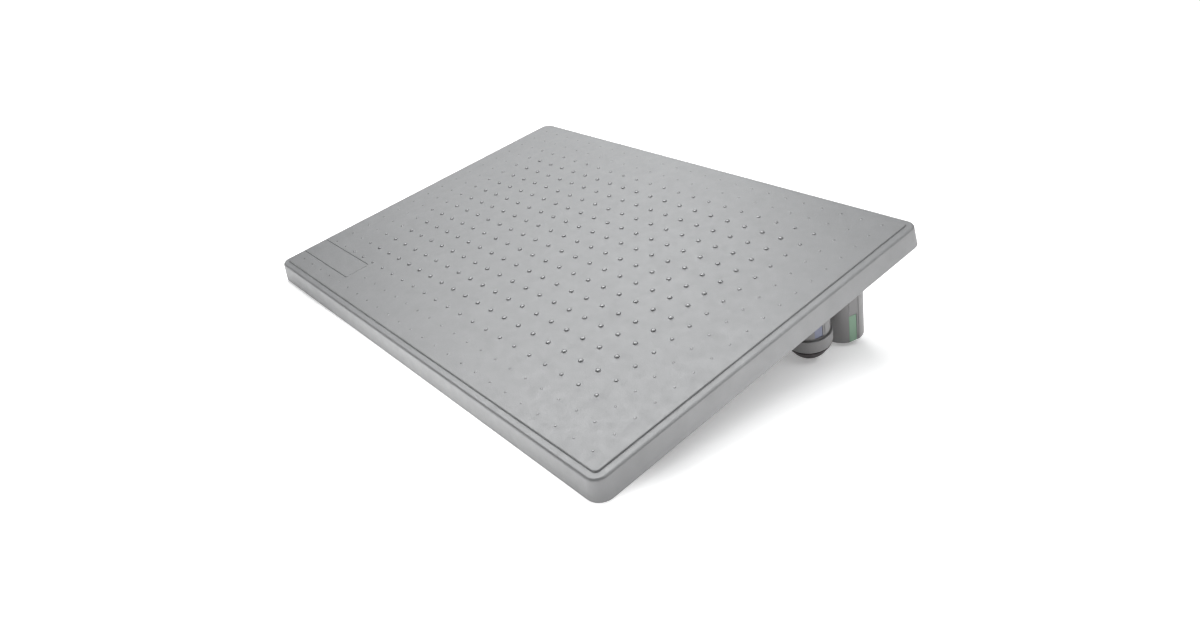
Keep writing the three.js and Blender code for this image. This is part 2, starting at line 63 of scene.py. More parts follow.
LIGHT_TARGET = Vector((0.0, 0.0, 0.05))
LIGHT_DISTANCE = 1.35
COOL = (0.985, 0.995, 1.0)
WHITE = (1.0, 1.0, 1.0)
# name, direction from the footrest, width, height, power, colour
SOFTBOXES = [
    ("ceiling_left", (-0.62, 0.3, 0.72), 1.0, 1.0, 6.5, COOL),
    ("ceiling_high", (-0.35, 0.1, 0.93), 1.1, 1.1, 12.5, COOL),
    ("ceiling_front", (-0.55, -0.2, 0.85), 0.6, 0.6, 6.5, COOL),
    ("ceiling_right", (0.1, 0.2, 1.0), 0.9, 0.9, 5.0, COOL),
    ("upper_right", (0.5, 0.25, 0.8), 0.7, 0.7, 7.5, COOL),
    ("rim_light", (0.85, 0.55, 0.08), 0.5, 0.25, 2.0, WHITE),
]
FLOOR_HALF = 9.0
# the floor's glow is painted light: dimmer under the footrest, full far out
FLOOR_GLOW = (0.3, 1.1)      # under the footrest and far from it
FLOOR_GLOW_REACH = (0.55, 1.4)
# centre, radii and strength of the floor's glowing patches, painted light: pools of light on the floor
# that light the footrest from below
FLOOR_PATCHES = [
    ((0.08, -0.3), (0.42, 0.22), 1.8),
    ((-0.35, -0.28), (0.25, 0.22), 0.7),
    ((0.42, 0.0), (0.22, 0.38), 1.8),
]
PATCH_FADE = (0.3, 1.0)      # where a patch starts to fade and ends, as shares of its radii


# ---------------------------------------------------------------- camera, floor and light

def look_direction(heading, pitch):
    """Unit vector of a view that turns left from +Y by heading and down by pitch."""
    return Vector((
        -math.sin(heading) * math.cos(pitch),
        math.cos(heading) * math.cos(pitch),
        -math.sin(pitch),
    ))


def make_camera():
    data = bpy.data.cameras.new("camera")
    data.sensor_width = 36
    data.lens = CAMERA_LENS
    data.shift_x, data.shift_y = CAMERA_SHIFT
    data.clip_start = 0.01
    camera = bpy.data.objects.new("camera", data)
    bpy.context.scene.collection.objects.link(camera)
    camera.location = CAMERA_PLACE
    view = look_direction(CAMERA_HEADING, CAMERA_PITCH)
    roll = Matrix.Rotation(CAMERA_ROLL, 4, view)
    camera.rotation_euler = (roll @ view.to_track_quat("-Z", "Y").to_matrix().to_4x4()).to_euler()
    bpy.context.scene.camera = camera


def softbox(name, direction, width, height, power, colour):
    """A rectangular area light that faces the footrest from a direction."""
    data = bpy.data.lights.new(name, "AREA")
    data.shape = "RECTANGLE"
    data.size = width
    data.size_y = height
    data.energy = power
    data.color = colour
    light = bpy.data.objects.new(name, data)
    bpy.context.scene.collection.objects.link(light)
    toward = Vector(direction).normalized()
    light.location = LIGHT_TARGET + LIGHT_DISTANCE * toward
    light.rotation_euler = (-toward).to_track_quat("-Z", "Y").to_euler()


def ramp(nodes, links, source, limits, values):
    """Smoothly takes a number from one value to the other as it crosses the limits."""
    node = nodes.new("ShaderNodeMapRange")
    node.interpolation_type = "SMOOTHSTEP"
    node.inputs["From Min"].default_value, node.inputs["From Max"].default_value = limits
    node.inputs["To Min"].default_value, node.inputs["To Max"].default_value = values
    links.new(source, node.inputs["Value"])
    return node.outputs["Result"]


def floor_distance(nodes, links, centre, radii):
    """Distance over the floor from a centre, as a share of the radii across and along."""
    place = nodes.new("ShaderNodeTexCoord")
    offset = nodes.new("ShaderNodeVectorMath")
    offset.operation = "SUBTRACT"
    offset.inputs[1].default_value = (*centre, 0.0)
    share = nodes.new("ShaderNodeVectorMath")
    share.operation = "DIVIDE"
    share.inputs[1].default_value = (*radii, 1.0)
    length = nodes.new("ShaderNodeVectorMath")
    length.operation = "LENGTH"
    links.new(place.outputs["Object"], offset.inputs[0])
    links.new(offset.outputs[0], share.inputs[0])
    links.new(share.outputs[0], length.inputs[0])
    return length.outputs["Value"]


def make_floor():
    """A matt white floor that glows evenly far out and in soft patches round the footrest; the glow is
    painted light, and its patches light the footrest from below.
    """
    bm = bmesh.new()
    bmesh.ops.create_grid(bm, x_segments=1, y_segments=1, size=FLOOR_HALF)
    mesh = bpy.data.meshes.new("floor")
    bm.to_mesh(mesh)
    bm.free()
    floor = bpy.data.objects.new("floor", mesh)
    bpy.context.scene.collection.objects.link(floor)
    material = bpy.data.materials.new("floor_white")
    material.use_nodes = True
    nodes, links = material.node_tree.nodes, material.node_tree.links
    shader = nodes["Principled BSDF"]
    shader.inputs["Base Color"].default_value = (0.9, 0.9, 0.9, 1.0)
    shader.inputs["Roughness"].default_value = 0.9
    shader.inputs["Specular IOR Level"].default_value = 0.0
    shader.inputs["Emission Color"].default_value = (1.0, 1.0, 1.0, 1.0)
    # painted light: the floor's glow, dimmer under the footrest, with glowing pools round it that light
    # the footrest from below
    far = floor_distance(nodes, links, (0.0, 0.0), (1.0, 1.0))
    total = ramp(nodes, links, far, FLOOR_GLOW_REACH, FLOOR_GLOW)
    for centre, radii, strength in FLOOR_PATCHES:
        near = floor_distance(nodes, links, centre, radii)
        add = nodes.new("ShaderNodeMath")
        add.operation = "ADD"
        links.new(total, add.inputs[0])
        links.new(ramp(nodes, links, near, PATCH_FADE, (strength, 0.0)), add.inputs[1])
        total = add.outputs[0]
    links.new(total, shader.inputs["Emission Strength"])
    mesh.materials.append(material)


def make_studio():
    """The floor and the softboxes; the world itself gives no light."""
    world = bpy.data.worlds.new("studio")
    bpy.context.scene.world = world
    world.use_nodes = True
    background = world.node_tree.nodes["Background"]
    background.inputs["Strength"].default_value = 0.0
    make_floor()
    for light in SOFTBOXES:
        softbox(*light)
    bpy.context.scene.view_settings.view_transform = "Standard"


make_camera()
make_studio()


# ---------------------------------------------------------------- mesh helpers

WELD = 1e-4                  # corners closer than this are one
GRID_WELD = 1e-3
CREASE = math.radians(32)    # sharper edges than this stay sharp


def finish_piece(name, bm, material, body, replaced):
    """Turns a bmesh drawn in the platform's frame into a piece that rides on a body."""
    bmesh.ops.remove_doubles(bm, verts=bm.verts, dist=WELD)
    bmesh.ops.recalc_face_normals(bm, faces=bm.faces)
    bm.transform(PLATFORM)
    mesh = bpy.data.meshes.new(name)
    bm.to_mesh(mesh)
    bm.free()
    for polygon in mesh.polygons:
        polygon.use_smooth = True
    mesh.set_sharp_from_angle(angle=CREASE)
    mesh.materials.append(material)
    piece = bpy.data.objects.new(name, mesh)
    bpy.context.scene.collection.objects.link(piece)
    modifier = piece.modifiers.new("weighted_normals", "WEIGHTED_NORMAL")
    modifier.keep_sharp = True
    modifier.weight = 80
    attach(piece, body)
    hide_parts(replaced)


def mirrored(bm, side):
    """The same piece for the left side, where side is -1."""
    if side < 0:
        bmesh.ops.scale(bm, vec=(-1, 1, 1), verts=bm.verts)
        bmesh.ops.reverse_faces(bm, faces=bm.faces)
    return bm


def lathe(profile, segments, hollow=False):
    """A solid of revolution about Z from (radius, z) points.

    The profile starts and ends on the axis; a hollow one closes on itself around the axis instead.
    """
    bm = bmesh.new()
    rings = []
    for radius, z in profile:
        if radius < 1e-6:
            rings.append([bm.verts.new((0, 0, z))] * segments)
        else:
            turn = 2 * math.pi / segments
            rings.append([
                bm.verts.new((radius * math.cos(i * turn), radius * math.sin(i * turn), z))
                for i in range(segments)
            ])
    if hollow:
        rings.append(rings[0])
    skin(bm, rings)
    return bm


def skin(bm, rings):
    """Faces between neighbouring closed rings of equal length; repeated corners are dropped."""
    for low, high in zip(rings, rings[1:]):
        count = len(low)
        for i in range(count):
            j = (i + 1) % count
            corners = []
            for vert in (low[i], low[j], high[j], high[i]):
                if vert not in corners:
                    corners.append(vert)
            if len(corners) > 2:
                bm.faces.new(corners)


def arc(centre_r, centre_z, radius, start, end, steps):
    """Points of a circular arc in a lathe profile, angles in degrees."""
    points = []
    for i in range(steps + 1):
        angle = math.radians(start + (end - start) * i / steps)
        points.append((centre_r + radius * math.cos(angle), centre_z + radius * math.sin(angle)))
    return points


def block(x0, x1, y0, y1, z0, z1, draft=0.0):
    """A box whose lower end is narrower by draft on every side."""
    bm = bmesh.new()
    rings = []
    for z, inset in ((z0, draft), (z1, 0.0)):
        corners = [
            (x1 - inset, y0 + inset), (x1 - inset, y1 - inset),
            (x0 + inset, y1 - inset), (x0 + inset, y0 + inset),
        ]
        rings.append([bm.verts.new((x, y, z)) for x, y in corners])
    skin(bm, rings)
    bm.faces.new(rings[0][::-1])
    bm.faces.new(rings[1])
    return bm


def merge(target, source):
    """Adds a copy of source's geometry to target and frees source."""
    scratch = bpy.data.meshes.new("scratch")
    source.to_mesh(scratch)
    source.free()
    target.from_mesh(scratch)
    bpy.data.meshes.remove(scratch)


def boolean(bm, tool, operation, self_crossing=False):
    """Cuts or joins one closed bmesh with another by Blender's exact solver."""
    made = []
    for part in (bm, tool):
        bmesh.ops.recalc_face_normals(part, faces=part.faces)
        mesh = bpy.data.meshes.new("scratch")
        part.to_mesh(mesh)
        part.free()
        thing = bpy.data.objects.new("scratch", mesh)
        bpy.context.scene.collection.objects.link(thing)
        made.append(thing)
    modifier = made[0].modifiers.new("boolean", "BOOLEAN")
    modifier.object = made[1]
    modifier.operation = operation
    modifier.solver = "EXACT"
    modifier.use_self = self_crossing
    evaluated = made[0].evaluated_get(bpy.context.evaluated_depsgraph_get())
    result = bmesh.new()
    result.from_mesh(evaluated.to_mesh())
    evaluated.to_mesh_clear()
    for thing in made:
        mesh = thing.data
        bpy.data.objects.remove(thing)
        bpy.data.meshes.remove(mesh)
    return result


# ---------------------------------------------------------------- materials

STUD_POLISH = (0.00003, 0.0002)   # heights over the tread where it starts and is full, in metres
STUD_ROUGHNESS = 0.24
STUD_COAT = 0.25
STUD_GRAIN = 0.25                 # share of the tread's grain that is left on a stud
PLATFORM_SPECULAR = 0.8
RUBBER_SPECULAR = 0.35
CLOUD_SCALE = 55.0                # noise scales, in cycles per metre
RUB_SCALE = 130.0
DUST_SCALE = 240.0
STAIN_SCALE = 420.0


def new_material(name, colour, roughness, specular=0.5):
    material = bpy.data.materials.new(name)
    material.use_nodes = True
    shader = material.node_tree.nodes["Principled BSDF"]
    shader.inputs["Base Color"].default_value = (*colour, 1.0)
    shader.inputs["Roughness"].default_value = roughness
    shader.inputs["Specular IOR Level"].default_value = specular
    return material, material.node_tree.nodes, material.node_tree.links, shader


def noise(nodes, links, scale, detail=3.0, roughness=0.5):
    """A noise texture in the piece's own coordinates, scale in cycles per metre."""
    place = nodes.get("place") or nodes.new("ShaderNodeTexCoord")
    place.name = "place"
    texture = nodes.new("ShaderNodeTexNoise")
    texture.inputs["Scale"].default_value = scale
    texture.inputs["Detail"].default_value = detail
    texture.inputs["Roughness"].default_value = roughness
    links.new(place.outputs["Object"], texture.inputs["Vector"])
    return texture.outputs["Fac"]


def spread(nodes, links, source, low, high, from_low=0.3, from_high=0.7):
    """Maps a texture's middle range to low..high."""
    node = nodes.new("ShaderNodeMapRange")
    node.inputs["From Min"].default_value = from_low
    node.inputs["From Max"].default_value = from_high
    node.inputs["To Min"].default_value = low
    node.inputs["To Max"].default_value = high
    links.new(source, node.inputs["Value"])
    return node.outputs["Result"]


def mix_colours(nodes, links, factor, first, second):
    node = nodes.new("ShaderNodeMix")
    node.data_type = "RGBA"
    node.inputs["A"].default_value = (*first, 1.0)
    node.inputs["B"].default_value = (*second, 1.0)
    links.new(factor, node.inputs["Factor"])
    return node.outputs["Result"]


def add_bumps(nodes, links, shader, layers):
    """Chains (height output, depth in metres) layers into the shader's normal."""
    previous = None
    for height, depth in layers:
        bump = nodes.new("ShaderNodeBump")
        bump.inputs["Strength"].default_value = 1.0
        bump.inputs["Distance"].default_value = depth
        links.new(height, bump.inputs["Height"])
        if previous:
            links.new(previous, bump.inputs["Normal"])
        previous = bump.outputs["Normal"]
    links.new(previous, shader.inputs["Normal"])


def moulded_plastic(name, colour, roughness, grain_size, grain_depth, mottle=0.04, specular=0.5):
    """Grained plastic: colour mottling, roughness variation and two scales of grain."""
    material, nodes, links, shader = new_material(name, colour, roughness, specular)
    pale = tuple(c * (1 + mottle) for c in colour)
    dark = tuple(c * (1 - mottle) for c in colour)
    cloud = noise(nodes, links, CLOUD_SCALE, 4.0)
    links.new(mix_colours(nodes, links, spread(nodes, links, cloud, 0.0, 1.0), dark, pale),
              shader.inputs["Base Color"])
    rub = noise(nodes, links, RUB_SCALE, 5.0, 0.6)
    links.new(spread(nodes, links, rub, roughness - 0.06, roughness + 0.07), shader.inputs["Roughness"])
    coarse = noise(nodes, links, 1.0 / grain_size, 2.0, 0.55)
    fine = noise(nodes, links, 3.1 / grain_size, 2.0, 0.6)
    add_bumps(nodes, links, shader, [(coarse, grain_depth), (fine, grain_depth * 0.35)])
    return material


def stud_mask(nodes, links):
    """0 on the tread's flat, 1 on the studs: the height over the tread as a ramp."""
    normal = Vector(TREAD["axis"])
    place = nodes.get("place")
    height = nodes.new("ShaderNodeVectorMath")
    height.operation = "DOT_PRODUCT"
    height.inputs[1].default_value = normal
    links.new(place.outputs["Object"], height.inputs[0])
    level = normal.dot(Vector(TREAD["pos_m"]))
    return spread(nodes, links, height.outputs["Value"], 0.0, 1.0,
                  level + STUD_POLISH[0], level + STUD_POLISH[1])


def platform_plastic(name, colour, roughness, grain_size, grain_depth):
    """The moulded plastic with its studs rubbed smoother than the grained tread round them."""
    material = moulded_plastic(name, colour, roughness, grain_size, grain_depth,
                               specular=PLATFORM_SPECULAR)
    nodes, links = material.node_tree.nodes, material.node_tree.links
    shader = nodes["Principled BSDF"]
    mask = stud_mask(nodes, links)
    grained = shader.inputs["Roughness"].links[0].from_socket
    blend = nodes.new("ShaderNodeMix")
    blend.inputs["B"].default_value = STUD_ROUGHNESS
    links.new(mask, blend.inputs["Factor"])
    links.new(grained, blend.inputs["A"])
    links.new(blend.outputs["Result"], shader.inputs["Roughness"])
    links.new(spread(nodes, links, mask, 0.0, STUD_COAT, 0.0, 1.0), shader.inputs["Coat Weight"])
    shader.inputs["Coat Roughness"].default_value = STUD_ROUGHNESS
    fade = spread(nodes, links, mask, 1.0, STUD_GRAIN, 0.0, 1.0)
    for node in nodes:
        if node.bl_idname == "ShaderNodeBump":
            links.new(fade, node.inputs["Strength"])
    return material


def rubber(name, colour, roughness):
    """Dark rubber with a paler dust in patches, which are also rougher."""
    material, nodes, links, shader = new_material(name, colour, roughness, RUBBER_SPECULAR)
    dust = noise(nodes, links, DUST_SCALE, 4.0, 0.6)
    dusty = tuple(c * 1.9 + 0.004 for c in colour)
    links.new(mix_colours(nodes, links, spread(nodes, links, dust, 0.0, 1.0, 0.45, 0.75), colour, dusty),
              shader.inputs["Base Color"])
    links.new(spread(nodes, links, dust, roughness - 0.08, roughness + 0.08), shader.inputs["Roughness"])
    add_bumps(nodes, links, shader, [(noise(nodes, links, 1400.0, 2.0), 0.00008)])
    return material


def zinc_steel(name):
    """Zinc-plated steel with stains that change its colour and roughness."""
    material, nodes, links, shader = new_material(name, (0.62, 0.62, 0.63), 0.32)
    shader.inputs["Metallic"].default_value = 1.0
    stain = noise(nodes, links, STAIN_SCALE, 4.0, 0.6)
    links.new(mix_colours(nodes, links, stain, (0.5, 0.5, 0.5), (0.72, 0.72, 0.74)),
              shader.inputs["Base Color"])
    links.new(spread(nodes, links, stain, 0.24, 0.42), shader.inputs["Roughness"])
    add_bumps(nodes, links, shader, [(noise(nodes, links, 2600.0, 2.0), 0.00002)])
    return material


PLATFORM_GREY = platform_plastic("platform_grey", (0.17, 0.171, 0.174), 0.42, 0.0009, 0.0001)
COLUMN_GREY = moulded_plastic("column_grey", (0.2, 0.196, 0.197), 0.42, 0.0011, 0.00004)
BLUE_INLAY = moulded_plastic("blue_inlay", (0.17, 0.182, 0.255), 0.42, 0.0013, 0.00003, 0.03)
GREEN_INLAY = moulded_plastic("green_inlay", (0.18, 0.295, 0.205), 0.42, 0.0013, 0.00003, 0.03)
BLACK_RUBBER = rubber("black_rubber", (0.022, 0.017, 0.017), 0.6)
O_RING_RUBBER = rubber("o_ring_rubber", (0.012, 0.012, 0.012), 0.4)
SCREW_ZINC = zinc_steel("screw_zinc")


# ---------------------------------------------------------------- platform

BASE_HALF = (229.7, 168.1)   # at the skirt's lower edge
BASE_CORNER = 11.4
SKIRT_DEPTH = 18.0
SKIRT_FLARE = 2.3
LIP_ROUND = 0.6              # rounding of the skirt's lower edges
LIP_TURN = math.radians(60)  # where that rounding has its one point between its ends
RIM_ROUND = 2.0
RIM_STEPS = 6
RIM_DROP = 1.2
PANEL_HALF = (220.6, 159.2)
PANEL_CORNER = 3.0
EDGE_ROUNDING = 0.75         # of the tread's edge
STEP_FILLET = 0.35           # at the foot of its step
STEP_STEEPNESS = 72
WALL = 2.8
CEILING = -3.0               # underside of the tread

PITCH = (18.0, 17.5)
COLUMNS = 24
ROWS = 18
CELL_POINTS = 16             # points round each stud, 4 to a side of its cell
# stud radius and height by ring from the edge of the grid
STUD_SIZES = [(0.9, 0.35), (0.95, 0.4), (1.4, 0.85)]
FULL_STUD = (1.85, 1.2)
# a steep side under a gently domed top: shares of the stud's radius and height, from its foot up
STUD_SHAPE = [
    (1.5, 0.0), (1.14, 0.01), (1.0, 0.14), (0.95, 0.5), (0.86, 0.74), (0.7, 0.88), (0.46, 0.96),
    (0.22, 0.99),
]
CORNER_POINTS = 8            # points inside each rounded corner

# the blank name field: a groove round three sides, open past the tread's left edge
NAME_X = (-226.0, -135.0)
NAME_Y = (-141.7, -118.6)
NAME_CORNER = 2.0
NAME_GROOVE = 0.8            # half its width at the tread
NAME_GROOVE_FLOOR = 0.2      # half its width at the bottom
NAME_GROOVE_DEPTH = 0.5
NAME_CORNER_STEPS = 6

RIB_X = (-150, -75, 0, 75, 150)
RIB_Y = (-105, -35, 35, 105)
RIB_THICKNESS = 2.2
RIB_DEPTH = 3.5
RIB_REACH = (224.6, 163.0)   # from the middle to the walls
RIB_DRAFT = 0.35
ROOT_SINK = 1.5              # how far ribs and bosses go up into the ceiling


def in_name_field(x, y):
    return x < NAME_X[1] and NAME_Y[0] < y < NAME_Y[1]


def side_shares(cells):
    """Positions of the cell-boundary points along one side of the grid, from -1 to 1."""
    step = math.tan(math.pi / 8)
    shares = []
    for cell in range(cells):
        for offset in (-1.0, -step, 0.0, step):
            shares.append((2 * cell + 1 + offset) / cells - 1)
    return [*shares, 1.0]


SHARES_X = side_shares(COLUMNS)
SHARES_Y = side_shares(ROWS)


def outline(half_x, half_y, corner, z):
    """One closed level of the platform, anticlockwise, with points in step with the stud grid."""
    inner_x, inner_y = half_x - corner, half_y - corner
    sides = [
        [(half_x, share * inner_y) for share in SHARES_Y],
        [(-share * inner_x, half_y) for share in SHARES_X],
        [(-half_x, -share * inner_y) for share in SHARES_Y],
        [(share * inner_x, -half_y) for share in SHARES_X],
    ]
    centres = [(inner_x, inner_y), (-inner_x, inner_y), (-inner_x, -inner_y), (inner_x, -inner_y)]
    points = []
    for quarter in range(4):
        points += sides[quarter]
        for step in range(1, CORNER_POINTS + 1):
            angle = (quarter + step / (CORNER_POINTS + 1)) * math.pi / 2
            x = centres[quarter][0] + corner * math.cos(angle)
            y = centres[quarter][1] + corner * math.sin(angle)
            points.append((x, y))
    return [(x, y, z) for x, y in points]


def step_profile():
    """(run out from the tread's edge, height) up the step: fillet, steep side and rounded edge."""
    steep = math.radians(STEP_STEEPNESS)
    edge_run = EDGE_ROUNDING * math.sin(steep)
    edge_drop = EDGE_ROUNDING * (1 - math.cos(steep))
    foot_run = STEP_FILLET * math.sin(steep)
    foot_rise = STEP_FILLET * (1 - math.cos(steep))
    side_run = (RIM_DROP - edge_drop - foot_rise) / math.tan(steep)
    points = []
    for share in (0.0, 0.25, 0.5, 0.75, 1.0):
        turn = steep * share
        run = edge_run + side_run + foot_run - STEP_FILLET * math.sin(turn)
        points.append((run, -RIM_DROP + STEP_FILLET * (1 - math.cos(turn))))
    for share in (1.0, 0.83, 0.67, 0.5, 0.33, 0.17, 0.0):
        turn = steep * share
        points.append((EDGE_ROUNDING * math.sin(turn), -EDGE_ROUNDING * (1 - math.cos(turn))))
    return points


def platform_levels():
    """The platform's levels from the ceiling inside, down and round the lip, up to the tread."""
    wall_top = -RIM_DROP - RIM_ROUND
    slope = SKIRT_FLARE / (SKIRT_DEPTH + wall_top)

    def inward(inset, z):
        return outline(BASE_HALF[0] - inset, BASE_HALF[1] - inset, BASE_CORNER - inset, z)

    def inside(z, fillet=0.0):
        return inward(WALL + slope * (z + SKIRT_DEPTH) + fillet, z)

    lip_run = LIP_ROUND * (1 - math.cos(LIP_TURN))
    lip_z = -SKIRT_DEPTH + LIP_ROUND * (1 - math.sin(LIP_TURN))
    levels = [
        inside(CEILING, 1.2), inside(CEILING - 0.35, 0.35), inside(CEILING - 1.2),
        inside(-SKIRT_DEPTH + LIP_ROUND),
        inward(WALL - lip_run, lip_z), inward(WALL - LIP_ROUND, -SKIRT_DEPTH),
        inward(LIP_ROUND, -SKIRT_DEPTH), inward(lip_run, lip_z),
        inward(0.0, -SKIRT_DEPTH + LIP_ROUND),
    ]
    for step in range(RIM_STEPS + 1):
        angle = math.radians(90 * step / RIM_STEPS)
        inset = SKIRT_FLARE + RIM_ROUND * (1 - math.cos(angle))
        levels.append(inward(inset, wall_top + RIM_ROUND * math.sin(angle)))
    for run, z in step_profile():
        levels.append(outline(PANEL_HALF[0] + run, PANEL_HALF[1] + run, PANEL_CORNER + run, z))
    return levels


def stud_size(row, column):
    from_edge = min(row, column, ROWS - 1 - row, COLUMNS - 1 - column)
    return STUD_SIZES[from_edge] if from_edge < len(STUD_SIZES) else FULL_STUD


def add_stud_cell(bm, row, column):
    """One cell of the tread: a flat square sheet that rises into a domed stud at its middle."""
    x = (column - (COLUMNS - 1) / 2) * PITCH[0]
    y = (row - (ROWS - 1) / 2) * PITCH[1]
    radius, height = stud_size(row, column)
    if in_name_field(x, y):
        height = 0.0
    rings = []
    edge = []
    for i in range(CELL_POINTS):
        angle = 2 * math.pi * i / CELL_POINTS
        reach = max(abs(math.cos(angle)), abs(math.sin(angle)))
        px = x + PITCH[0] / 2 * math.cos(angle) / reach
        py = y + PITCH[1] / 2 * math.sin(angle) / reach
        edge.append(bm.verts.new((px, py, 0.0)))
    rings.append(edge)
    for share, rise in STUD_SHAPE:
        ring = []
        for i in range(CELL_POINTS):
            angle = 2 * math.pi * i / CELL_POINTS
            px = x + radius * share * math.cos(angle)
            py = y + radius * share * math.sin(angle)
            ring.append(bm.verts.new((px, py, height * rise)))
        rings.append(ring)
    rings.append([bm.verts.new((x, y, height))] * CELL_POINTS)
    skin(bm, rings)


def tread_sheet():
    bm = bmesh.new()
    for row in range(ROWS):
        for column in range(COLUMNS):
            add_stud_cell(bm, row, column)
    # the strip from the grid's edge out to the tread's edge
    grid_half = (COLUMNS * PITCH[0] / 2, ROWS * PITCH[1] / 2)
    inner = outline(*grid_half, 0.0, 0.0)
    outer = platform_levels()[-1]
    bmesh.ops.remove_doubles(bm, verts=bm.verts, dist=GRID_WELD)
    inner_verts = []
    for i, point in enumerate(inner):
        same = i > 0 and (Vector(point) - Vector(inner[i - 1])).length < 1e-6
        inner_verts.append(inner_verts[-1] if same else bm.verts.new(point))
    if (Vector(inner[-1]) - Vector(inner[0])).length < 1e-6:
        last = inner_verts[-1]
        inner_verts = [inner_verts[0] if v is last else v for v in inner_verts]
    skin(bm, [[bm.verts.new(point) for point in outer], inner_verts])
    return bm


def tray():
    """The platform's closed skin: the levels, a flat ceiling inside and the studded tread."""
    bm = tread_sheet()
    rings = [[bm.verts.new(point) for point in level] for level in platform_levels()]
    skin(bm, rings)
    bm.faces.new(rings[0][::-1])
    bmesh.ops.remove_doubles(bm, verts=bm.verts, dist=GRID_WELD)
    return bm


COLUMN_RADIUS = 16.7
BORE_RADIUS = 13.7
BLUE_COLUMN = {"x": 189.9, "y": 75.5, "end": -57.0}
GREEN_COLUMN = {"x": 188.8, "y": 119.5, "end": -89.3}
FLANGE_TOP = -12.0
FLANGE_THICKNESS = 3.0
SCREW_OFFSET = 21.5
BOSS_RADIUS = 4.6
BOSS_CHAMFER = 0.4
PILOT_RADIUS = 2.0
PILOT_DEPTH = 8.0
BORE_SIDES = 32

PAD_X = 178.0
PAD_LENGTH = 58.0
PAD_RIB_Y = -154.5
PAD_RIB_THICKNESS = 3.0
PAD_RIB_DRAFT = 0.3
PAD_RIB_END = -18.7


def moved(bm, x, y, z=0.0):
    bmesh.ops.translate(bm, vec=(x, y, z), verts=bm.verts)
    return bm


def screw_boss(root):
    """A boss with a blind pilot hole, drafted, from the flange's top up into the ceiling."""
    foot = FLANGE_TOP + FIT_GAP
    hole_end = foot + PILOT_DEPTH
    chamfer = BOSS_CHAMFER
    profile = [
        (0, hole_end), (PILOT_RADIUS, hole_end), (PILOT_RADIUS, foot + chamfer),
        (PILOT_RADIUS + chamfer, foot), (BOSS_RADIUS - chamfer, foot), (BOSS_RADIUS, foot + chamfer),
        (BOSS_RADIUS + 0.35, CEILING), (BOSS_RADIUS + 0.4, root), (0, root),
    ]
    return lathe(profile, BORE_SIDES)


def underside_details():
    """Ribs with draft, screw bosses and the ribs that hold the front pads, each sunk in the ceiling."""
    bottom = CEILING - RIB_DEPTH
    root = CEILING + ROOT_SINK
    half = RIB_THICKNESS / 2
    reach_x, reach_y = RIB_REACH
    ribs = bmesh.new()
    for x in RIB_X:
        merge(ribs, block(x - half, x + half, -reach_y, reach_y, bottom, root, RIB_DRAFT))
    for y in RIB_Y:
        merge(ribs, block(-reach_x, reach_x, y - half, y + half, bottom, root, RIB_DRAFT))
    for side in SIDES.values():
        reach = PAD_LENGTH / 2 - 2
        half = PAD_RIB_THICKNESS / 2
        x = side * PAD_X
        merge(ribs, block(x - reach, x + reach, PAD_RIB_Y - half, PAD_RIB_Y + half,
                          PAD_RIB_END, root, PAD_RIB_DRAFT))
        for column in (BLUE_COLUMN, GREEN_COLUMN):
            for end in (-1, 1):
                x = side * (column["x"] + end * SCREW_OFFSET)
                merge(ribs, moved(screw_boss(root), x, column["y"]))
    return ribs


def name_groove_cutter():
    """The groove's section swept along the front line, round the right end and back to the left."""
    right = NAME_X[1] - NAME_CORNER
    path = [(NAME_X[0], NAME_Y[0], 0.0, -1.0)]
    for cy, start in ((NAME_Y[0] + NAME_CORNER, -90), (NAME_Y[1] - NAME_CORNER, 0)):
        for step in range(NAME_CORNER_STEPS + 1):
            angle = math.radians(start + 90 * step / NAME_CORNER_STEPS)
            across, along = math.cos(angle), math.sin(angle)
            path.append((right + NAME_CORNER * across, cy + NAME_CORNER * along, across, along))
    path.append((NAME_X[0], NAME_Y[1], 0.0, 1.0))
    above = 0.4
    slope = (NAME_GROOVE - NAME_GROOVE_FLOOR) / NAME_GROOVE_DEPTH
    wide = NAME_GROOVE + above * slope
    section = [
        (-wide, above), (-NAME_GROOVE_FLOOR, -NAME_GROOVE_DEPTH),
        (NAME_GROOVE_FLOOR, -NAME_GROOVE_DEPTH), (wide, above),
    ]
    bm = bmesh.new()
    rings = [
        [bm.verts.new((x + across * out, y + along * out, z)) for out, z in section]
        for x, y, across, along in path
    ]
    skin(bm, rings)
    bm.faces.new(rings[0])
    bm.faces.new(rings[-1][::-1])
    return bm


def make_platform():
    shell = boolean(tray(), underside_details(), "UNION", self_crossing=True)
    shell = boolean(shell, name_groove_cutter(), "DIFFERENCE")
    finish_piece("platform_tray", shell, PLATFORM_GREY, "platform", "platform_shell")


# ---------------------------------------------------------------- socket columns

COLUMN_SIDES = 72
FLANGE_HALF_WIDTH = 18.5
FLANGE_END_RADIUS = 6.0
FLANGE_ROUND = 0.8
EDGE_ROUND = 0.5
FLAT_ANGLE = math.radians(-19.5)       # which way the flat faces, from +X
FLAT_HALF_ANGLE = math.radians(15.5)
FLAT_SINK = 0.35                       # its floor lies this far under the chord between its edges
FLAT_DISTANCE = COLUMN_RADIUS * math.cos(FLAT_HALF_ANGLE) - FLAT_SINK
FLAT_HALF_WIDTH = COLUMN_RADIUS * math.sin(FLAT_HALF_ANGLE)
MARK_SPAN = (-4.3, 2.4)                # along the flat
MARK_HEIGHT = 25.0
MARK_THICKNESS = 0.7
SEAT = FLANGE_TOP - FLANGE_THICKNESS


def flange_outline(inset, z):
    """The flange's level at z: two screw ears on a wide round middle."""
    arcs = [
        (SCREW_OFFSET, FLANGE_END_RADIUS, -69, 69), (0.0, FLANGE_HALF_WIDTH, 40, 140),
        (-SCREW_OFFSET, FLANGE_END_RADIUS, 111, 249), (0.0, FLANGE_HALF_WIDTH, 220, 320),
    ]
    points = []
    for centre, radius, start, end in arcs:
        for px, py in arc(centre, 0.0, radius - inset, start, end, 14):
            points.append((px, py, z))
    return points


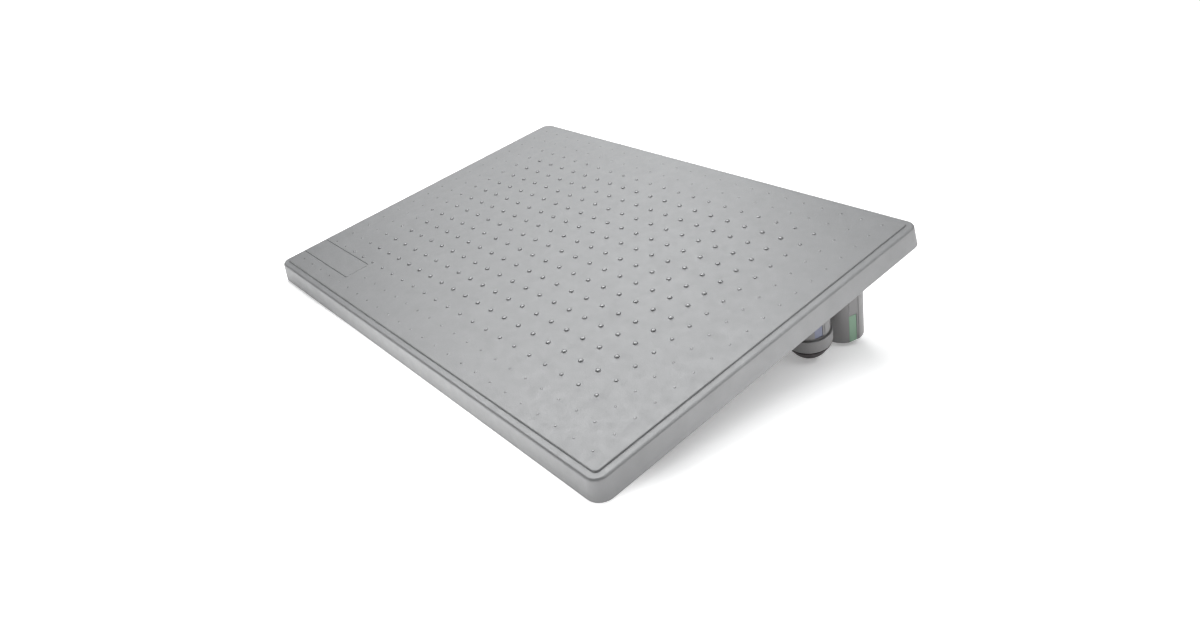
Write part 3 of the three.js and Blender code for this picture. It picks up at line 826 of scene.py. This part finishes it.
def flange():
    bm = bmesh.new()
    levels = [flange_outline(FLANGE_ROUND, SEAT)]
    for angle in (30, 60, 90):
        turn = math.radians(angle)
        inset = FLANGE_ROUND * (1 - math.sin(turn))
        levels.append(flange_outline(inset, SEAT + FLANGE_ROUND * (1 - math.cos(turn))))
    levels.append(flange_outline(0.0, FLANGE_TOP - 0.2))
    levels.append(flange_outline(0.2, FLANGE_TOP))
    rings = [[bm.verts.new(point) for point in level] for level in levels]
    skin(bm, rings)
    bm.faces.new(rings[0][::-1])
    bm.faces.new(rings[-1])
    return bm


def on_flat(bm):
    """Turns a piece drawn with +X out of the flat to the way the flat faces."""
    bmesh.ops.rotate(bm, matrix=Matrix.Rotation(FLAT_ANGLE, 3, "Z"), verts=bm.verts)
    return bm


def socket_column(end):
    """A column standing on the origin's axis: tube with a blind bore, flat, mark pocket and flange."""
    fillet = 1.0
    profile = [(0, SEAT), (BORE_RADIUS - 0.8, SEAT), (BORE_RADIUS, SEAT - 0.8),
               (BORE_RADIUS, end + 0.9), (BORE_RADIUS + 0.25, end + 0.35), (BORE_RADIUS + 0.8, end)]
    profile += arc(COLUMN_RADIUS - EDGE_ROUND, end + EDGE_ROUND, EDGE_ROUND, -90, 0, 4)
    profile += arc(COLUMN_RADIUS + fillet, SEAT - fillet, fillet, 180, 90, 4)
    profile += [(COLUMN_RADIUS + fillet, SEAT + 1), (0, SEAT + 1)]
    column = boolean(lathe(profile, COLUMN_SIDES), flange(), "UNION")
    half = FLAT_HALF_WIDTH
    channel = on_flat(block(FLAT_DISTANCE, FLAT_DISTANCE + 8, -half, half, end - 1, SEAT - 1.2))
    depth = FLAT_DISTANCE - MARK_THICKNESS - FIT_GAP
    low, high = MARK_SPAN[0] - FIT_GAP, MARK_SPAN[1] + FIT_GAP
    pocket = on_flat(block(depth, FLAT_DISTANCE + 1, low, high, end - 1, end + MARK_HEIGHT + FIT_GAP))
    column = boolean(column, channel, "DIFFERENCE")
    column = boolean(column, pocket, "DIFFERENCE")
    for place in (-1, 1):
        bore = lathe([(0, SEAT - 1), (PILOT_RADIUS + 1.4, SEAT - 1), (PILOT_RADIUS, SEAT + 0.4),
                      (PILOT_RADIUS, FLANGE_TOP + 1), (0, FLANGE_TOP + 1)], BORE_SIDES)
        column = boolean(column, moved(bore, place * SCREW_OFFSET, 0.0), "DIFFERENCE")
    return column


def colour_mark(end):
    """A thin strip with rounded edges that lies in the flat's pocket."""
    low, high = MARK_SPAN
    bm = block(FLAT_DISTANCE - MARK_THICKNESS, FLAT_DISTANCE, low, high, end, end + MARK_HEIGHT)
    outer = [e for e in bm.edges if all(v.co.x > FLAT_DISTANCE - 0.01 for v in e.verts)]
    bmesh.ops.bevel(bm, geom=outer, offset=0.25, segments=3, affect="EDGES", profile=0.5)
    return on_flat(bm)


# ---------------------------------------------------------------- screws

DRIVE_WIDTH = 0.9
DRIVE_DEPTH = 1.2
THREAD_PITCH = 1.5


def screw(head_radius, head_height, shank_radius, length):
    """A pan-head cross-recess screw, its head under z = 0 and its threaded shank above."""
    profile = [(0, -head_height), (head_radius * 0.45, -head_height * 0.99),
               (head_radius * 0.72, -head_height * 0.9), (head_radius * 0.9, -head_height * 0.68),
               (head_radius, -head_height * 0.35), (head_radius, -0.15), (head_radius - 0.15, 0),
               (shank_radius * 0.78, 0)]
    z = 0.4
    while z < length - 2.2:
        profile += [(shank_radius * 0.78, z), (shank_radius, z + THREAD_PITCH * 0.3),
                    (shank_radius * 0.78, z + THREAD_PITCH * 0.6)]
        z += THREAD_PITCH
    profile += [(shank_radius * 0.78, length - 1.9), (shank_radius * 0.25, length - 0.2), (0, length)]
    body = lathe(profile, 40)
    for turn in (0, 90):
        bm = bmesh.new()
        rings = []
        for z, reach, half in ((-head_height - 1, 0.68, 0.58), (-head_height + DRIVE_DEPTH, 0.4, 0.36)):
            x, y = head_radius * reach, DRIVE_WIDTH * half
            corners = [(x, -y), (x, y), (-x, y), (-x, -y)]
            rings.append([bm.verts.new((px, py, z)) for px, py in corners])
        skin(bm, rings)
        bm.faces.new(rings[0][::-1])
        bm.faces.new(rings[1])
        spin = Matrix.Rotation(math.radians(turn + 20), 3, "Z")
        bmesh.ops.rotate(bm, matrix=spin, verts=bm.verts)
        body = boolean(body, bm, "DIFFERENCE")
    return body


# ---------------------------------------------------------------- plug-in foot

NECK_RADIUS = 16.2
NECK_HEIGHT = 0.9
CUP_RADIUS = 18.25
CUP_HEIGHT = 11.2
CUP_TAPER = 0.6
STEM_RADIUS = 13.3
STEM_LENGTH = 35.0
STEM_BORE = 9.5
CUP_FLOOR = 6.0
O_RING_SECTION = 1.1
O_RING_UP = 8.0
TIP_RADIUS = 17.3
TIP_BAND = 1.0
TIP_SLOPE = math.radians(35)
TIP_HUB_RADIUS = 7.5
TIP_HUB_HEIGHT = 6.5
FOOT_SIDES = 72

SHOULDER = BLUE_COLUMN["end"] - FIT_GAP
CUP_TOP = SHOULDER - NECK_HEIGHT
CUP_BOTTOM = CUP_TOP - CUP_HEIGHT
DOME_TOP = CUP_BOTTOM - FIT_GAP
HUB_TOP = DOME_TOP + TIP_HUB_HEIGHT
BORE_FLOOR = HUB_TOP + FIT_GAP + CUP_FLOOR
RING_Z = BLUE_COLUMN["end"] + O_RING_UP


def foot_body():
    stem_top = BLUE_COLUMN["end"] + STEM_LENGTH
    groove = BORE_RADIUS - 2 * (O_RING_SECTION + FIT_GAP)
    half = O_RING_SECTION + FIT_GAP
    pocket = TIP_HUB_RADIUS + FIT_GAP
    profile = [(pocket, CUP_BOTTOM + 0.3), (pocket + 0.3, CUP_BOTTOM)]
    profile += arc(CUP_RADIUS - CUP_TAPER - 0.6, CUP_BOTTOM + 0.6, 0.6, -90, -15, 4)
    profile += [(CUP_RADIUS, CUP_BOTTOM + 2.4), (CUP_RADIUS, CUP_TOP - 1.0)]
    profile += arc(CUP_RADIUS - 0.8, CUP_TOP - 0.8, 0.8, 15, 90, 4)
    profile += [
        (NECK_RADIUS + 0.2, CUP_TOP), (NECK_RADIUS, CUP_TOP + 0.2), (NECK_RADIUS, SHOULDER - 0.2),
        (NECK_RADIUS - 0.2, SHOULDER), (STEM_RADIUS + 0.1, SHOULDER), (STEM_RADIUS, SHOULDER + 0.2),
        (STEM_RADIUS, RING_Z - half), (groove + 0.2, RING_Z - half), (groove, RING_Z - half + 0.2),
        (groove, RING_Z + half - 0.2), (groove + 0.2, RING_Z + half), (STEM_RADIUS, RING_Z + half),
        (STEM_RADIUS, stem_top - 2.2), (STEM_RADIUS - 0.2, stem_top - 1.4),
        (STEM_RADIUS - 1.2, stem_top), (STEM_BORE + 0.5, stem_top), (STEM_BORE, stem_top - 0.5),
        (STEM_BORE, BORE_FLOOR + 0.8), (STEM_BORE - 0.8, BORE_FLOOR), (PILOT_RADIUS, BORE_FLOOR),
        (PILOT_RADIUS, HUB_TOP + FIT_GAP), (pocket - 0.4, HUB_TOP + FIT_GAP),
        (pocket, HUB_TOP + FIT_GAP - 0.4),
    ]
    return lathe(profile, FOOT_SIDES, hollow=True)


def o_ring():
    middle = BORE_RADIUS - O_RING_SECTION - FIT_GAP
    return lathe(arc(middle, RING_Z, O_RING_SECTION, 0, 337.5, 15), FOOT_SIDES, hollow=True)


def tip_cap():
    """Where the tip's cone runs into its round cap, which just touches the floor at the tilt."""
    cone_top = DOME_TOP - TIP_BAND
    apex = cone_top - TIP_RADIUS / math.tan(TIP_SLOPE)
    to_floor = (apex - floor_at(BLUE_COLUMN["y"])) * math.cos(TILT)
    radius = to_floor / (1 - math.cos(TILT) / math.sin(TIP_SLOPE))
    return cone_top, radius, apex + radius / math.sin(TIP_SLOPE)


def foot_tip():
    cone_top, radius, centre = tip_cap()
    pilot = TIP_SCREW["shank_radius"] + FIT_GAP
    pilot_end = BORE_FLOOR - TIP_SCREW["length"] - 1
    profile = arc(0.0, centre, radius, -90, -math.degrees(TIP_SLOPE), 20)
    profile[0] = (0.0, centre - radius)
    edge = 0.9
    slope = math.tan(TIP_SLOPE)
    profile += [
        (TIP_RADIUS - edge * slope, cone_top - edge), (TIP_RADIUS - 0.25, cone_top - 0.2),
        (TIP_RADIUS - 0.04, cone_top + 0.2), (TIP_RADIUS, cone_top + 0.5),
        (TIP_RADIUS, DOME_TOP - 0.3), (TIP_RADIUS - 0.3, DOME_TOP),
        (TIP_HUB_RADIUS + 0.2, DOME_TOP), (TIP_HUB_RADIUS, DOME_TOP + 0.2),
        (TIP_HUB_RADIUS, HUB_TOP - 0.5), (TIP_HUB_RADIUS - 0.5, HUB_TOP), (pilot, HUB_TOP),
        (pilot, pilot_end), (0, pilot_end),
    ]
    return lathe(profile, FOOT_SIDES)


# ---------------------------------------------------------------- front pads

PAD_Y = (-162.5, -146.5)
PAD_TOP = -13.9
PAD_EDGE_ROUND = 0.5
PAD_GROOVES = 5
GROOVE_DEPTH = 0.6
SKIRT_LIFT = 0.8


def floor_at(y):
    """Height of the floor in the platform's frame."""
    return -SKIRT_DEPTH - SKIRT_LIFT / math.cos(TILT) - (y + BASE_HALF[1]) * math.tan(TILT)


def front_pad():
    """A rubber strip: level with the floor below, with grip grooves, and slotted for its rib above."""
    slot = PAD_RIB_THICKNESS / 2 + FIT_GAP
    slot_end = PAD_RIB_END - FIT_GAP
    front, rear = PAD_Y
    outline_points = [(front, PAD_TOP)]
    edge = 2.0
    step = (rear - front - 2 * edge) / PAD_GROOVES
    outline_points.append((front, floor_at(front)))
    for i in range(PAD_GROOVES):
        y = front + edge + (i + 0.5) * step
        for shift, rise in ((-0.5, 0.0), (-0.2, GROOVE_DEPTH), (0.2, GROOVE_DEPTH), (0.5, 0.0)):
            outline_points.append((y + shift, floor_at(y + shift) + rise))
    outline_points += [
        (rear, floor_at(rear)), (rear, PAD_TOP), (PAD_RIB_Y + slot, PAD_TOP),
        (PAD_RIB_Y + slot, slot_end), (PAD_RIB_Y - slot, slot_end), (PAD_RIB_Y - slot, PAD_TOP),
    ]
    half = PAD_LENGTH / 2
    bm = bmesh.new()
    rings = [[bm.verts.new((x, y, z)) for y, z in outline_points] for x in (-half, half)]
    skin(bm, rings)
    bm.faces.new(rings[0][::-1])
    bm.faces.new(rings[1])
    bmesh.ops.recalc_face_normals(bm, faces=bm.faces)
    ends = [e for e in bm.edges if abs(abs(e.verts[0].co.x) - half) < 1e-3
            and abs(e.verts[0].co.x - e.verts[1].co.x) < 1e-3]
    corners = [e for e in bm.edges if abs(e.verts[0].co.x - e.verts[1].co.x) > 1
               and e.verts[0].co.y in PAD_Y]
    bmesh.ops.bevel(bm, geom=ends + corners, offset=PAD_EDGE_ROUND, segments=3, affect="EDGES",
                    profile=0.5, clamp_overlap=True)
    return moved(bm, PAD_X, 0.0)


# ---------------------------------------------------------------- everything under the platform

COLUMN_SCREW = {"head_radius": 3.2, "head_height": 2.2, "shank_radius": 1.7, "length": 9.5}
TIP_SCREW = {"head_radius": 3.4, "head_height": 2.4, "shank_radius": 1.7, "length": 14.0}


def make_columns(side_name, side):
    for colour, column, inlay in (("blue", BLUE_COLUMN, BLUE_INLAY), ("green", GREEN_COLUMN, GREEN_INLAY)):
        x, y, end = column["x"], column["y"], column["end"]
        body = mirrored(moved(socket_column(end), x, y), side)
        finish_piece(f"{colour}_column_{side_name}", body, COLUMN_GREY, "platform",
                     f"{colour}_socket_column_{side_name}")
        mark = mirrored(moved(colour_mark(end), x, y), side)
        finish_piece(f"{colour}_inlay_{side_name}", mark, inlay, "platform",
                     f"{colour}_mark_{side_name}")
        for place, offset in (("inner", -SCREW_OFFSET), ("outer", SCREW_OFFSET)):
            bm = moved(screw(**COLUMN_SCREW), side * (x + offset), y, SEAT - FIT_GAP)
            finish_piece(f"{colour}_flange_screw_{place}_{side_name}", bm, SCREW_ZINC, "platform",
                         f"{colour}_column_screw_{place}_{side_name}")


def make_foot(side_name, side):
    body = f"foot_{side_name}"
    x, y = side * BLUE_COLUMN["x"], BLUE_COLUMN["y"]
    finish_piece(f"foot_plug_{side_name}", moved(foot_body(), x, y), COLUMN_GREY, body,
                 f"foot_body_{side_name}")
    finish_piece(f"foot_seal_{side_name}", moved(o_ring(), x, y), O_RING_RUBBER, body,
                 f"foot_o_ring_{side_name}")
    finish_piece(f"foot_dome_{side_name}", moved(foot_tip(), x, y), BLACK_RUBBER, body,
                 f"foot_tip_{side_name}")
    bm = screw(**TIP_SCREW)
    bmesh.ops.rotate(bm, matrix=Matrix.Rotation(math.pi, 3, "X"), verts=bm.verts)
    finish_piece(f"dome_screw_{side_name}", moved(bm, x, y, BORE_FLOOR + FIT_GAP), SCREW_ZINC, body,
                 f"tip_screw_{side_name}")


def make_pad(side_name, side):
    finish_piece(f"grip_pad_{side_name}", mirrored(front_pad(), side), BLACK_RUBBER, "platform",
                 f"front_pad_{side_name}")


make_platform()
for side_name, side in SIDES.items():
    make_columns(side_name, side)
    make_foot(side_name, side)
    make_pad(side_name, side)
